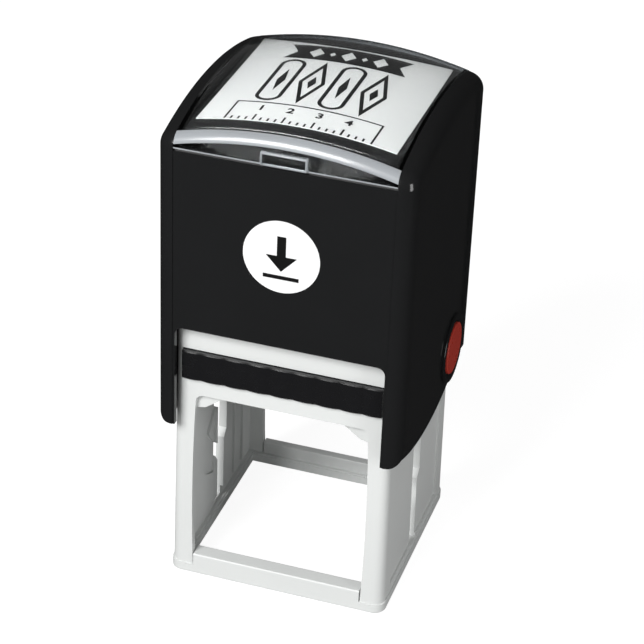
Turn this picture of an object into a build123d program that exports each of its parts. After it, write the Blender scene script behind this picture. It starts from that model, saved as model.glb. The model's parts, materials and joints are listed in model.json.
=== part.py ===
from build123d import *
import math
import os

# Self-inking stamp, modelled at rest: cap up, rubber die turned up under the ink pad.
# Millimetres. Origin at the middle of the foot, +Z up, the ink pad comes out towards -Y.

# ---------------------------------------------------------------- driving dimensions
TRAVEL = 40.5  # how far the cap and the die axle go down
DIE_STANDOFF = 8.0  # from the axle to the printing face
AXLE_Z = TRAVEL + DIE_STANDOFF  # the printing face then ends at z = 0
RUN_GAP = 0.3  # between faces that slide past each other

# foot ring
FOOT_HALF = 28.5
FOOT_CORNER_R = 3.0
FOOT_THICK = 2.5
FOOT_OPEN_X = 25.2
FOOT_OPEN_Y = 25.0
RAIL_Z = (0.5, 5.9)
RAIL_EDGE_R = 0.4
RAIL_HALF_X = 22.1
FRONT_RAIL_Y_IN = 24.2
REAR_RAIL_Y_IN = 25.9
LIP_TOP = 2.2
LIP_IN = 24.7
PEG_AT = 26.75
PEG_R = 0.5
PEG_TOP = 5.0

# frame
FRAME_HALF = 28.17
FRAME_DRAFT_DEG = 0.65
FRAME_CORNER_R = 2.8
FRAME_TOP = 76.0
FRAME_IN_X = 26.2
FRAME_IN_Y = 26.2
DECK_LOW = 67.0
DECK_TOP = 68.5
PANEL_HALF_Y = 21.0
PANEL_DEPTH = 0.5
PANEL_Z = (4.5, 60.0)
WINDOW_TOP = 53.6
WINDOW_HALF_TOP = 22.0
WINDOW_HALF_MID = 22.7
WINDOW_HALF_LOW = 22.3
WINDOW_MID_Z = 28.0
WINDOW_CORNER_R = 2.0

# axle slot and cam track in the side walls
SLOT_HALF = 2.35
SLOT_REAR = 4.2
SLOT_LOW = 3.5
SLOT_STEP_LOW = 21.5
SLOT_STEP_HIGH = 23.5
SLOT_TOP = 54.0
CAM_FACE_X = 25.3
CAM_FLOOR_X = 26.5
CAM_PLATE_Y = (-19.5, 7.5)
CAM_PLATE_Z = (6.0, 57.2)
CAM_R = 9.0  # from the axle to the follower pin
PIN_R = 1.3
TRACK_HALF = PIN_R + 0.35
TRACK_STEPS = 24
LEAF_DEPTH = 0.6
LEAF_TOP = (-1.0, 51.0)
LEAF_BULGE = (-18.2, 36.0)
LEAF_LOW = (-5.0, 15.5)
RIB_YS = (-23.0, 12.5, 19.0)
RIB_FACE_X = 25.6
RIB_WIDE = 1.4
GUSSET_THICK = 1.6
GUSSET_X = (15.8, 20.0)
GUSSET_Z = (48.5, 49.6, 52.6, 57.0)

# ink pad
PAD_LOW = 58.3
PAD_TOP = 66.2
PAD_HALF_X = 25.4
PAD_FRONT_Y = -28.9
PAD_HANDLE_BACK_Y = -26.0
TRAY_HALF_X = 25.0
TRAY_REAR_Y = 24.5
TRAY_LOW = 59.0
TRAY_TOP = 66.0
FELT_HALF = 21.0
FELT_LOW = 58.8
FELT_TOP = 63.3
LEDGE_IN_X = 22.8
LEDGE_Z = (57.2, 58.7)
PILLOWS = 9
PILLOW_PITCH = 5.88
PILLOW_BULGE = 0.35
GRIP_CHAMFER = 0.25

# die, from the axle out to the rubber
DIE_HALF = 19.5
CUSHION_HALF = 19.7
PLATE_HALF = 20.5
CARRIER_HALF = 18.0
CARRIER_TOP = AXLE_Z + 2.3
PLATE_TOP = AXLE_Z + 3.9
CUSHION_TOP = AXLE_Z + 5.4
RUBBER_BASE_TOP = AXLE_Z + 6.8
DIE_FACE = AXLE_Z + DIE_STANDOFF
AXLE_R = 1.5
HUB_R = 3.4
CHEEK_X = (22.0, 24.2)
BUSH_R = 2.2
BUSH_X = (24.3, 29.7)
AXLE_HALF_LENGTH = 29.6
PIN_END_X = 26.3

# cap
CAP_HALF = 31.3
CAP_CORNER_R = 4.5
CAP_FACE_Y = 31.1
CAP_FACE_HALF_X = 26.9
CAP_IN_X = 29.1
CAP_IN_Y = 29.6
CAP_IN_CORNER_R = 2.6
CAP_CEILING = 119.5
CAP_SIDE_X = 30.4
CAP_SIDE_HALF_Y = 27.0
CAP_SIDE_TOP_EDGE = 121.3
CAP_SIDE_TOP_MID = 124.5
CREASE_TAPER_DEG = 35
CREASE_R = 0.4
CAP_LEG_Z = 46.1
CAP_BELLY_Z = 41.3
CAP_BELLY_HALF_Y = 26.2
CUTOUT_HALF_X = 26.3
CUTOUT_TOP = 73.9
CUTOUT_R = 2.0
LEG_ROUND = 3.0
SOCKET_R = BUSH_R + 0.05
SOCKET_END_X = 29.9
SOCKET_BOSS_X = 28.45
SOCKET_BOSS_R = 3.8

# cap top and index window
DOME_R = 110.0
DOME_TOP = 132.2
DOME_EDGE_R = 3.2
CAP_EDGE_R = 4.2
FACE_TOP = 120.9
SEAM_Z = 121.5
SEAM_IN_Y = 30.4
WINDOW_HALF_X = 26.8
CHEEK_IN_X = 26.85
WINDOW_SKIN = 1.0
PLATFORM_HALF_X = 25.4
PLATFORM_HALF_Y = 26.7
PLATFORM_EDGE_R = 0.8
ARCH_R = 116.0
ARCH_TOP = 128.1
TAB_HALF_X = 5.7
TAB_Z = (121.5, 125.0)
TAB_PROUD = 0.8
LABEL_HALF_X = 24.0
LABEL_FRONT_Y = -23.5
LABEL_REAR_Y = 24.0
LABEL_REAR_DIP = 3.0
LABEL_THICK = 0.15

# badge, springs and lock buttons
BADGE_Z = 98.5
BADGE_R = 9.4
BADGE_THICK = 0.35
BADGE_RECESS = 0.25
SPRING_X = 14.0
SPRING_MEAN_R = 5.6
SPRING_WIRE_R = 0.45
SPRING_TURNS = 9
SPRING_PEG_R = 4.6
SPRING_PEG_TALL = 4.0
SPRING_BOSS_R = 8.0
BUTTON_Y = 17.5
BUTTON_Z = 53.0
BUTTON_R = 6.8
BUTTON_WELL_R = 6.95
DISH_R = (7.5, 8.5)
DISH_X = 30.2
COLLAR_R = 9.3
COLLAR_FACE_X = 31.2
BUTTON_WELL_X = 29.6
BUTTON_FACE_X = 31.3
BUTTON_BACK_X = 30.6
STEM_R = 2.6
STEM_END_X = 28.6
STEM_BORE_R = 2.65
LOCK_WASHER_R = (4.6, 6.2)
LOCK_WASHER_THICK = 0.25
LOCK_RING_R = 3.4
LOCK_RING_X = (28.72, 29.02)

MIDDLE = Align.CENTER
LOW = Align.MIN


# ---------------------------------------------------------------- helpers
def slab(x, y, z):
    """A block between the two values of each of x, y and z."""
    size = [high - low for low, high in (x, y, z)]
    return Pos(x[0], y[0], z[0]) * Box(*size, align=(LOW, LOW, LOW))


def square_slab(half, z, corner):
    """A square plate with rounded corners about the Z axis."""
    face = RectangleRounded(2 * half, 2 * half, corner)
    return Pos(0, 0, z[0]) * extrude(face, amount=z[1] - z[0])


def x_rod(radius, x, y, z):
    """A cylinder along X between the two values of x."""
    rod = Cylinder(radius, x[1] - x[0], align=(MIDDLE, MIDDLE, LOW))
    return Pos(x[0], y, z) * Rot(0, 90, 0) * rod


def z_rod(radius, z, x, y):
    """A cylinder along Z between the two values of z."""
    return Pos(x, y, z[0]) * Cylinder(radius, z[1] - z[0], align=(MIDDLE, MIDDLE, LOW))


def both_sides(solid):
    """The solid and its mirror image across the plane x = 0."""
    return solid + mirror(solid, about=Plane.YZ)


def front_and_rear(solid):
    """The solid and its mirror image across the plane y = 0."""
    return solid + mirror(solid, about=Plane.XZ)


def side_outline(points, x):
    """A plate with an outline of (y, z) points, between the two values of x."""
    face = make_face(Polyline(*[(0, y, z) for y, z in points], close=True))
    return Pos(x[0], 0, 0) * extrude(face, amount=x[1] - x[0], dir=(1, 0, 0))


def drafted(half_x, half_y, corner, z_top):
    """The frame's drafted outside, from the top of the foot up."""
    face = Rectangle(2 * half_x, 2 * half_y)
    if corner:
        face = RectangleRounded(2 * half_x, 2 * half_y, corner)
    body = extrude(face, amount=z_top - FOOT_THICK, taper=FRAME_DRAFT_DEG)
    return Pos(0, 0, FOOT_THICK) * body


# ---------------------------------------------------------------- foot and frame
def foot_ring():
    ring = square_slab(FOOT_HALF, (0, FOOT_THICK), FOOT_CORNER_R)
    ring = fillet(ring.edges().filter_by(GeomType.LINE).group_by(Axis.Z)[0], 0.35)
    ring -= slab((-FOOT_OPEN_X, FOOT_OPEN_X), (-FOOT_OPEN_Y, FOOT_OPEN_Y), (-1, FOOT_THICK + 1))
    lip = square_slab(FOOT_OPEN_X + 0.3, (0, LIP_TOP), 1.0)
    ring += lip - slab((-LIP_IN, LIP_IN), (-LIP_IN, LIP_IN), (-1, LIP_TOP + 1))
    rail_x = (-RAIL_HALF_X, RAIL_HALF_X)
    for y in ((-FOOT_HALF, -FRONT_RAIL_Y_IN), (REAR_RAIL_Y_IN, FOOT_HALF)):
        rail = slab(rail_x, y, RAIL_Z)
        ring += fillet(rail.edges().filter_by(Axis.X).group_by(Axis.Z)[-1], RAIL_EDGE_R)
    peg = z_rod(PEG_R, (FOOT_THICK, PEG_TOP), PEG_AT, PEG_AT)
    return ring + both_sides(front_and_rear(peg))


def window_cut():
    """The front and rear openings in one cut; their jambs bow outwards in the middle."""
    low = FOOT_THICK - 1
    top = Line((-WINDOW_HALF_TOP, 0, WINDOW_TOP), (WINDOW_HALF_TOP, 0, WINDOW_TOP))
    right = ThreePointArc(
        (WINDOW_HALF_TOP, 0, WINDOW_TOP), (WINDOW_HALF_MID, 0, WINDOW_MID_Z), (WINDOW_HALF_LOW, 0, low)
    )
    foot = Line((WINDOW_HALF_LOW, 0, low), (-WINDOW_HALF_LOW, 0, low))
    left = ThreePointArc(
        (-WINDOW_HALF_LOW, 0, low), (-WINDOW_HALF_MID, 0, WINDOW_MID_Z), (-WINDOW_HALF_TOP, 0, WINDOW_TOP)
    )
    cut = extrude(make_face([top, right, foot, left]), amount=FOOT_HALF + 1, dir=(0, 1, 0), both=True)
    return fillet(cut.edges().filter_by(Axis.Y).group_by(Axis.Z)[-1], WINDOW_CORNER_R)


def slot_cut(x):
    """The axle's slot; its rear edge steps back above the height where the die is clear."""
    outline = [
        (-SLOT_HALF, SLOT_LOW),
        (SLOT_HALF, SLOT_LOW),
        (SLOT_HALF, SLOT_STEP_LOW),
        (SLOT_REAR, SLOT_STEP_HIGH),
        (SLOT_REAR, SLOT_TOP),
        (-SLOT_HALF, SLOT_TOP),
    ]
    return side_outline(outline, x)


def track_points(offset):
    """The follower pin's path as the die turns half a turn going down, moved sideways by offset."""
    points = []
    for i in range(TRACK_STEPS + 1):
        turn = math.pi * i / TRACK_STEPS
        y = -CAM_R * math.sin(turn)
        z = AXLE_Z - TRAVEL * turn / math.pi - CAM_R * math.cos(turn)
        run_y = -CAM_R * math.cos(turn)
        run_z = -TRAVEL / math.pi + CAM_R * math.sin(turn)
        run = math.hypot(run_y, run_z)
        points.append((y + offset * run_z / run, z - offset * run_y / run))
    return points


def track_cut(x):
    """The crescent groove that turns the die: a band along the pin's path, round at both ends."""
    band = side_outline(track_points(TRACK_HALF) + track_points(-TRACK_HALF)[::-1], x)
    for y, z in (track_points(0)[0], track_points(0)[-1]):
        band += x_rod(TRACK_HALF, x, y, z)
    return band


def leaf_cut():
    """The shallow leaf-shaped recess round the right groove."""
    top, bulge, low = [(0, y, z) for y, z in (LEAF_TOP, LEAF_BULGE, LEAF_LOW)]
    leaf = make_face([ThreePointArc(top, bulge, low), Line(low, top)])
    return Pos(CAM_FACE_X - 1, 0, 0) * extrude(leaf, amount=1 + LEAF_DEPTH, dir=(1, 0, 0))


def side_wall_detail():
    """What stands on the inside of the right side wall: cam plate, ribs and the pad's ledge."""
    to_wall = FRAME_IN_X + 0.1
    detail = slab((CAM_FACE_X, to_wall), CAM_PLATE_Y, CAM_PLATE_Z)
    for y in RIB_YS:
        detail += slab((RIB_FACE_X, to_wall), (y - RIB_WIDE / 2, y + RIB_WIDE / 2), (4.0, LEDGE_Z[0]))
    detail += slab((LEDGE_IN_X, to_wall), (-24.5, 24.5), LEDGE_Z)
    return detail


def gusset():
    """The brace across the upper rear right corner, from the side wall to the header."""
    tip, knee = GUSSET_X
    foot, knee_low, tip_low, top = GUSSET_Z
    wall = FRAME_IN_X + 0.1
    outline = [(wall, foot), (wall, top), (tip, top), (tip, tip_low), (knee, knee_low)]
    face = make_face(Polyline(*[(x, 0, z) for x, z in outline], close=True))
    return Pos(0, FRAME_IN_Y - GUSSET_THICK, 0) * extrude(face, amount=GUSSET_THICK + 0.1, dir=(0, 1, 0))


def base_frame():
    inside_x = (-FRAME_IN_X, FRAME_IN_X)
    inside_y = (-FRAME_IN_Y, FRAME_IN_Y)
    frame = drafted(FRAME_HALF, FRAME_HALF, FRAME_CORNER_R, FRAME_TOP)
    panel = slab((-40, 40), (-PANEL_HALF_Y, PANEL_HALF_Y), PANEL_Z)
    frame -= panel - drafted(FRAME_HALF - PANEL_DEPTH, FRAME_HALF + 5, 0, FRAME_TOP)
    frame -= slab(inside_x, inside_y, (0, DECK_LOW))
    frame -= slab(inside_x, (-26.0, 26.0), (DECK_TOP, FRAME_TOP + 1))
    frame += both_sides(side_wall_detail())
    frame -= window_cut()
    frame += both_sides(front_and_rear(gusset()))
    frame -= slab((-25.6, 25.6), (-FOOT_HALF - 1, -25.0), (PAD_LOW - 0.2, PAD_TOP + 0.2))
    frame -= both_sides(slot_cut((CAM_FACE_X - 1, FOOT_HALF + 1)))
    frame -= both_sides(track_cut((CAM_FACE_X - 1, CAM_FLOOR_X)))
    frame -= both_sides(leaf_cut())
    hole = z_rod(PEG_R + 0.05, (0, PEG_TOP + 0.2), PEG_AT, PEG_AT)
    frame -= both_sides(front_and_rear(hole))
    guide = slab((19.4, 20.6), (-24, 24), (TRAY_TOP + RUN_GAP, DECK_LOW))
    peg = z_rod(SPRING_PEG_R, (DECK_TOP, DECK_TOP + SPRING_PEG_TALL), SPRING_X, 0)
    return frame + both_sides(guide + peg)


# ---------------------------------------------------------------- ink pad
def grip():
    """The front grip: nine upright pillows side by side, the two outer ones cut short by the ends."""
    valley_y = PAD_FRONT_Y + PILLOW_BULGE
    half = PILLOWS / 2
    edges = [max(-PAD_HALF_X, min(PAD_HALF_X, (i - half) * PILLOW_PITCH)) for i in range(PILLOWS + 1)]
    front = [
        ThreePointArc((low, valley_y), ((low + high) / 2, PAD_FRONT_Y), (high, valley_y))
        for low, high in zip(edges, edges[1:])
    ]
    rest = Polyline(
        (PAD_HALF_X, valley_y),
        (PAD_HALF_X, PAD_HANDLE_BACK_Y),
        (-PAD_HALF_X, PAD_HANDLE_BACK_Y),
        (-PAD_HALF_X, valley_y),
    )
    block = extrude(make_face([*front, *rest.edges()]), amount=PAD_TOP - PAD_LOW)
    block = chamfer(block.edges().filter_by(GeomType.CIRCLE), GRIP_CHAMFER)
    return Pos(0, 0, PAD_LOW) * block


def ink_cartridge():
    tray = slab((-TRAY_HALF_X, TRAY_HALF_X), (PAD_HANDLE_BACK_Y, TRAY_REAR_Y), (TRAY_LOW, TRAY_TOP))
    tray = fillet(tray.edges().filter_by(Axis.Z).group_by(Axis.Y)[-1], 2.0)
    tray -= slab((-FELT_HALF, FELT_HALF), (-FELT_HALF, FELT_HALF), (0, FELT_TOP))
    return tray + grip()


def ink_felt():
    felt = square_slab(FELT_HALF, (FELT_LOW, FELT_TOP), 1.0)
    return felt


# ---------------------------------------------------------------- die
def die_cheek():
    """The right end plate: a disc round the axle, a smaller one round the follower pin, joined."""
    thick = (CHEEK_X[0] - 1.0, CHEEK_X[1])
    pin_z = AXLE_Z - CAM_R
    web = [
        (-HUB_R, AXLE_Z),
        (HUB_R, AXLE_Z),
        (2.0, pin_z),
        (-2.0, pin_z),
    ]
    return side_outline(web, thick) + x_rod(HUB_R, thick, 0, AXLE_Z) + x_rod(2.0, thick, 0, pin_z)


def die_carrier():
    carrier = square_slab(CARRIER_HALF, (CARRIER_TOP - 1.4, CARRIER_TOP), 1.5)
    carrier += x_rod(HUB_R, (-CHEEK_X[1], CHEEK_X[1]), 0, AXLE_Z) & slab(
        (-30, 30), (-10, 10), (AXLE_Z - 10, CARRIER_TOP)
    )
    for x in (-12.0, 0.0, 12.0):
        high = CARRIER_TOP - 1.0
        low = AXLE_Z - 2.0
        rib = [(-14.0, high), (14.0, high), (3.0, low), (-3.0, low)]
        carrier += side_outline(rib, (x - 0.8, x + 0.8))
    carrier += both_sides(die_cheek() & slab((-30, 30), (-10, 10), (0, CARRIER_TOP)))
    carrier -= x_rod(AXLE_R, (-30, 30), 0, AXLE_Z)
    return carrier - both_sides(x_rod(PIN_R, (CHEEK_X[0] - 1, 30), 0, AXLE_Z - CAM_R))


def die_plate():
    plate = square_slab(PLATE_HALF, (CARRIER_TOP, PLATE_TOP), 1.2)
    return chamfer(plate.edges().group_by(Axis.Z)[0], 0.5)


def die_cushion():
    return square_slab(CUSHION_HALF, (PLATE_TOP, CUSHION_TOP), 0.8)


def rubber_die():
    """A backing sheet with a raised border, a banner bar and rule strokes."""
    relief = (RUBBER_BASE_TOP, DIE_FACE)
    die = square_slab(DIE_HALF, (CUSHION_TOP, RUBBER_BASE_TOP), 0.6)
    die += square_slab(18.5, relief, 0.6) - square_slab(17.3, relief, 0.4)
    for y, half_x, half_y in ((9.5, 12.0, 2.6), (3.5, 14.0, 1.0), (-0.5, 10.0, 1.0), (-4.5, 12.5, 1.0)):
        die += slab((-half_x, half_x), (y - half_y, y + half_y), relief)
    for i in range(13):
        x = -14.4 + 2.4 * i
        tall = 3.2 if i % 4 == 0 else 1.8
        die += slab((x - 0.3, x + 0.3), (-14.0, -14.0 + tall), relief)
    return die


def die_axle():
    return x_rod(AXLE_R, (-AXLE_HALF_LENGTH, AXLE_HALF_LENGTH), 0, AXLE_Z)


def axle_bush():
    bush = x_rod(BUSH_R, BUSH_X, 0, AXLE_Z) - x_rod(AXLE_R, (0, 40), 0, AXLE_Z)
    return bush


def cam_pin():
    pin = x_rod(PIN_R, (CHEEK_X[0] - 1, PIN_END_X), 0, AXLE_Z - CAM_R)
    return chamfer(pin.edges().group_by(Axis.X)[-1], 0.25)


# ---------------------------------------------------------------- cap and index window
def dome_block(half_x, half_y, corner, apex, edge):
    """A block with a spherical crown and a rounded top edge, from well below the cap up."""
    face = Rectangle(2 * half_x, 2 * half_y)
    if corner:
        face = RectangleRounded(2 * half_x, 2 * half_y, corner)
    block = extrude(face, amount=apex)
    block &= Pos(0, 0, apex - DOME_R) * Sphere(DOME_R)
    crown = block.faces().filter_by(GeomType.SPHERE).sort_by(Axis.Z)[-1]
    return fillet(crown.edges(), edge)


def side_panel_cut():
    """The shallow field on the right side of the cap, under an arched crease."""
    low = CAP_BELLY_Z - 1
    rear = (0, CAP_SIDE_HALF_Y, CAP_SIDE_TOP_EDGE)
    front = (0, -CAP_SIDE_HALF_Y, CAP_SIDE_TOP_EDGE)
    arc = ThreePointArc(front, (0, 0, CAP_SIDE_TOP_MID), rear)
    legs = Polyline(rear, (0, CAP_SIDE_HALF_Y, low), (0, -CAP_SIDE_HALF_Y, low), front)
    field = extrude(make_face([arc, *legs.edges()]), amount=2, dir=(1, 0, 0), taper=-CREASE_TAPER_DEG)
    return Pos(CAP_SIDE_X, 0, 0) * field


def bottom_cut():
    """Everything under the cap's lower edge: level at the corners, bellied on the sides."""
    wide = CAP_HALF + 1
    belly = ThreePointArc(
        (0, -CAP_BELLY_HALF_Y, CAP_LEG_Z), (0, 0, CAP_BELLY_Z), (0, CAP_BELLY_HALF_Y, CAP_LEG_Z)
    )
    rest = Polyline(
        (0, CAP_BELLY_HALF_Y, CAP_LEG_Z),
        (0, wide, CAP_LEG_Z),
        (0, wide, -1),
        (0, -wide, -1),
        (0, -wide, CAP_LEG_Z),
        (0, -CAP_BELLY_HALF_Y, CAP_LEG_Z),
    )
    return extrude(make_face([belly, *rest.edges()]), amount=wide, dir=(1, 0, 0), both=True)


def leg_corner_cut():
    """Takes the sharp outer corner off the bottom of the front right leg."""
    at_x = CAP_HALF - LEG_ROUND
    at_z = CAP_LEG_Z + LEG_ROUND
    y = (-CAP_HALF - 1, -CAP_BELLY_HALF_Y)
    square = slab((at_x, CAP_HALF + 1), y, (CAP_LEG_Z - 1, at_z))
    round_off = Pos(at_x, sum(y) / 2, at_z) * Rot(90, 0, 0) * Cylinder(LEG_ROUND, y[1] - y[0])
    return square - round_off


def cutout():
    """The opening over the ink pad's grip, down through the lower edge, front and rear."""
    wide = 2 * CUTOUT_HALF_X
    tall = CUTOUT_TOP - 20.0
    face = Plane.XZ * RectangleRounded(wide, tall, CUTOUT_R)
    gap = extrude(face, amount=CAP_HALF + 1, both=True)
    return Pos(0, 0, CUTOUT_TOP - tall / 2) * gap


def arch(top):
    """A solid under the label's curved bed, from the middle of the cap up to the given height."""
    roof = Pos(0, 0, top - ARCH_R) * Rot(90, 0, 0) * Cylinder(ARCH_R, 4 * CAP_HALF)
    return roof & slab((-40, 40), (-40, 40), (CAP_CEILING, top + 1))


def platform():
    """The raised black bed that the index label lies on, inside the clear window."""
    bed = dome_block(PLATFORM_HALF_X, PLATFORM_HALF_Y, 0, DOME_TOP - WINDOW_SKIN - RUN_GAP, PLATFORM_EDGE_R)
    return bed & arch(ARCH_TOP)


def button_seat():
    """The collar round the right lock button, before its well is bored."""
    return x_rod(COLLAR_R, (CAP_IN_X, COLLAR_FACE_X), BUTTON_Y, BUTTON_Z)


def button_well():
    """The right button's well, with a dished mouth, and the bore for its stem."""
    well = x_rod(BUTTON_WELL_R, (BUTTON_WELL_X, 40), BUTTON_Y, BUTTON_Z)
    well += x_rod(STEM_BORE_R, (20, 40), BUTTON_Y, BUTTON_Z)
    dish = Cone(*DISH_R, COLLAR_FACE_X - DISH_X, align=(MIDDLE, MIDDLE, LOW))
    return well + Pos(DISH_X, BUTTON_Y, BUTTON_Z) * Rot(0, 90, 0) * dish


def creases(cap):
    """The long upright edges where the side fields meet the corner columns."""
    edges = []
    for edge in cap.edges():
        at = edge.center()
        beside_field = CAP_SIDE_HALF_Y < abs(at.Y) < CAP_SIDE_HALF_Y + 1
        if abs(at.X) > CAP_SIDE_X and beside_field and edge.length > CAP_LEG_Z:
            edges.append(edge)
    return edges


def cap_blank(edge_r):
    blank = dome_block(CAP_HALF, CAP_HALF, CAP_CORNER_R, DOME_TOP, edge_r)
    face = slab((-CAP_FACE_HALF_X, CAP_FACE_HALF_X), (CAP_FACE_Y, CAP_HALF + 1), (0, DOME_TOP))
    return blank - front_and_rear(face)


def cap_shell():
    cap = cap_blank(CAP_EDGE_R)
    cap -= slab((-CHEEK_IN_X, CHEEK_IN_X), (-40, 40), (SEAM_Z - 0.1, DOME_TOP + 1))
    seam = slab((-CHEEK_IN_X, CHEEK_IN_X), (SEAM_IN_Y, CAP_HALF + 1), (FACE_TOP, SEAM_Z))
    cap -= front_and_rear(seam)
    cap -= both_sides(side_panel_cut())
    cap = fillet(creases(cap), CREASE_R)
    collar = fillet(button_seat().edges().group_by(Axis.X)[-1], 0.6)
    cap += both_sides(collar)
    cap -= bottom_cut()
    cap -= both_sides(front_and_rear(leg_corner_cut()))
    inside = RectangleRounded(2 * CAP_IN_X, 2 * CAP_IN_Y, CAP_IN_CORNER_R)
    cap -= extrude(inside, amount=CAP_CEILING)
    cap -= cutout()
    cap += platform()
    boss = z_rod(SPRING_BOSS_R, (CAP_CEILING, CAP_CEILING + 10), SPRING_X, 0)
    cap -= slab((-23, 23), (-26, 26), (CAP_CEILING - 1, CAP_CEILING + 3.5)) - both_sides(boss)
    peg = z_rod(SPRING_PEG_R, (CAP_CEILING - 3, CAP_CEILING + 1), SPRING_X, 0)
    socket_boss = x_rod(SOCKET_BOSS_R, (SOCKET_BOSS_X, CAP_IN_X + 0.5), 0, AXLE_Z)
    cap += both_sides(peg + socket_boss)
    cap -= both_sides(button_well())
    cap -= both_sides(x_rod(SOCKET_R, (20, SOCKET_END_X), 0, AXLE_Z))
    return cap - badge_disc(BADGE_RECESS + 1)


def index_window():
    """The clear snap-on cover over the label: a thin dome with front and rear walls and tabs."""
    window = cap_blank(DOME_EDGE_R) & slab((-WINDOW_HALF_X, WINDOW_HALF_X), (-40, 40), (SEAM_Z, DOME_TOP + 1))
    inner_x = WINDOW_HALF_X - WINDOW_SKIN
    inner_y = CAP_FACE_Y - WINDOW_SKIN
    window -= dome_block(inner_x, inner_y, 0, DOME_TOP - WINDOW_SKIN, DOME_EDGE_R - WINDOW_SKIN)
    tab = slab((-TAB_HALF_X, TAB_HALF_X), (CAP_FACE_Y - 0.2, CAP_FACE_Y + TAB_PROUD), TAB_Z)
    tab = chamfer(tab.edges().filter_by(Axis.X).group_by(Axis.Y)[-1], 0.3)
    return window + front_and_rear(tab)


def index_label():
    """A printed slip on the arched bed; its rear edge is hollowed in plan."""
    sheet = arch(ARCH_TOP + LABEL_THICK) - arch(ARCH_TOP)
    rear = ThreePointArc(
        (LABEL_HALF_X, LABEL_REAR_Y), (0, LABEL_REAR_Y - LABEL_REAR_DIP), (-LABEL_HALF_X, LABEL_REAR_Y)
    )
    rest = Polyline(
        (-LABEL_HALF_X, LABEL_REAR_Y),
        (-LABEL_HALF_X, LABEL_FRONT_Y),
        (LABEL_HALF_X, LABEL_FRONT_Y),
        (LABEL_HALF_X, LABEL_REAR_Y),
    )
    return sheet & extrude(make_face([rear, *rest.edges()]), amount=DOME_TOP)


def badge_disc(depth):
    """The badge's disc, from depth behind its front face."""
    front = CAP_FACE_Y + BADGE_THICK - BADGE_RECESS
    low_y = CAP_FACE_Y - BADGE_RECESS
    long = front - low_y if depth < 1 else depth
    disc = Cylinder(BADGE_R, long, align=(MIDDLE, MIDDLE, LOW))
    return Pos(0, -low_y, BADGE_Z) * Rot(90, 0, 0) * disc


# ---------------------------------------------------------------- springs and lock buttons
def main_spring():
    low = DECK_TOP + SPRING_WIRE_R + 0.05
    tall = CAP_CEILING - SPRING_WIRE_R - 0.05 - low
    coil = Helix(pitch=tall / SPRING_TURNS, height=tall, radius=SPRING_MEAN_R)
    wire = Plane(origin=coil @ 0, z_dir=coil % 0) * Circle(SPRING_WIRE_R)
    return Pos(SPRING_X, 0, low) * sweep(wire, path=coil, is_frenet=True)


def lock_button():
    button = x_rod(BUTTON_R, (BUTTON_BACK_X, BUTTON_FACE_X), BUTTON_Y, BUTTON_Z)
    button = fillet(button.edges().group_by(Axis.X)[-1], 0.3)
    return button + x_rod(STEM_R, (STEM_END_X, BUTTON_FACE_X - 0.3), BUTTON_Y, BUTTON_Z)


def lock_spring():
    """The button's wave washer, as flat as it is when the button is pressed home."""
    inner, outer = LOCK_WASHER_R
    x = (BUTTON_WELL_X, BUTTON_WELL_X + LOCK_WASHER_THICK)
    return x_rod(outer, x, BUTTON_Y, BUTTON_Z) - x_rod(inner, x, BUTTON_Y, BUTTON_Z)


def lock_ring():
    """The push-on ring that keeps the button in the cap wall."""
    ring = x_rod(LOCK_RING_R, LOCK_RING_X, BUTTON_Y, BUTTON_Z)
    return ring - x_rod(STEM_R, (20, 40), BUTTON_Y, BUTTON_Z)


# ---------------------------------------------------------------- all sub-parts
def pair(name, solid):
    """The right-hand piece and its mirror image on the left."""
    return {f"{name}_right": solid, f"{name}_left": mirror(solid, about=Plane.YZ)}


def all_nodes():
    nodes = {
        "base_frame": base_frame(),
        "foot_ring": foot_ring(),
        "ink_cartridge": ink_cartridge(),
        "ink_felt": ink_felt(),
        "die_carrier": die_carrier(),
        "die_plate": die_plate(),
        "die_cushion": die_cushion(),
        "rubber_die": rubber_die(),
        "die_axle": die_axle(),
        "cap_shell": cap_shell(),
        "index_window": index_window(),
        "index_label": index_label(),
        "front_badge": badge_disc(0),
    }
    nodes |= pair("axle_bush", axle_bush())
    nodes |= pair("cam_pin", cam_pin())
    nodes |= pair("main_spring", main_spring())
    nodes |= pair("lock_button", lock_button())
    nodes |= pair("lock_spring", lock_spring())
    nodes |= pair("lock_ring", lock_ring())
    return nodes


os.makedirs("parts", exist_ok=True)
for node, solid in all_nodes().items():
    export_step(solid, f"parts/{node}.step")
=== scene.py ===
"""Self-inking stamp: materials, printed art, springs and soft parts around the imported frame."""
import json
import math

import bmesh
import bpy
from mathutils import Matrix, Vector
from mathutils.noise import noise as noise_at


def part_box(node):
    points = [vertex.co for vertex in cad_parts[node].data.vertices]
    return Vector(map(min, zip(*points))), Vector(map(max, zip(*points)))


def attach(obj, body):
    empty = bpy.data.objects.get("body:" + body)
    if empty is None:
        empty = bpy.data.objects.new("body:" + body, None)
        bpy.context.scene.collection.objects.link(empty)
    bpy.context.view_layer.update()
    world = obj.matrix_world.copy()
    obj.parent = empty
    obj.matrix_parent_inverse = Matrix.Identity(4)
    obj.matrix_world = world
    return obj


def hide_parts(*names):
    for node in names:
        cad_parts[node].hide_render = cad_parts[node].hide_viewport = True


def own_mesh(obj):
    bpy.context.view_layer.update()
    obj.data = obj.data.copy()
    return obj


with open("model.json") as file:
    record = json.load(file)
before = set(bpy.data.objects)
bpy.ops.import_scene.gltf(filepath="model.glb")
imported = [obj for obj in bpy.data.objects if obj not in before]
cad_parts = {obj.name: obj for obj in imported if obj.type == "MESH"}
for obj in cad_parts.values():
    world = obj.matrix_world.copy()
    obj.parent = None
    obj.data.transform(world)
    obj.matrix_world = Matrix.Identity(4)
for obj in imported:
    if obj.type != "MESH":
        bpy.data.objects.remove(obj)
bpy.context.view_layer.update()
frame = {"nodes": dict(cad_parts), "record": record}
NODES = frame["nodes"]
MM = 0.001
SIDES = {"right": 1, "left": -1}

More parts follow.
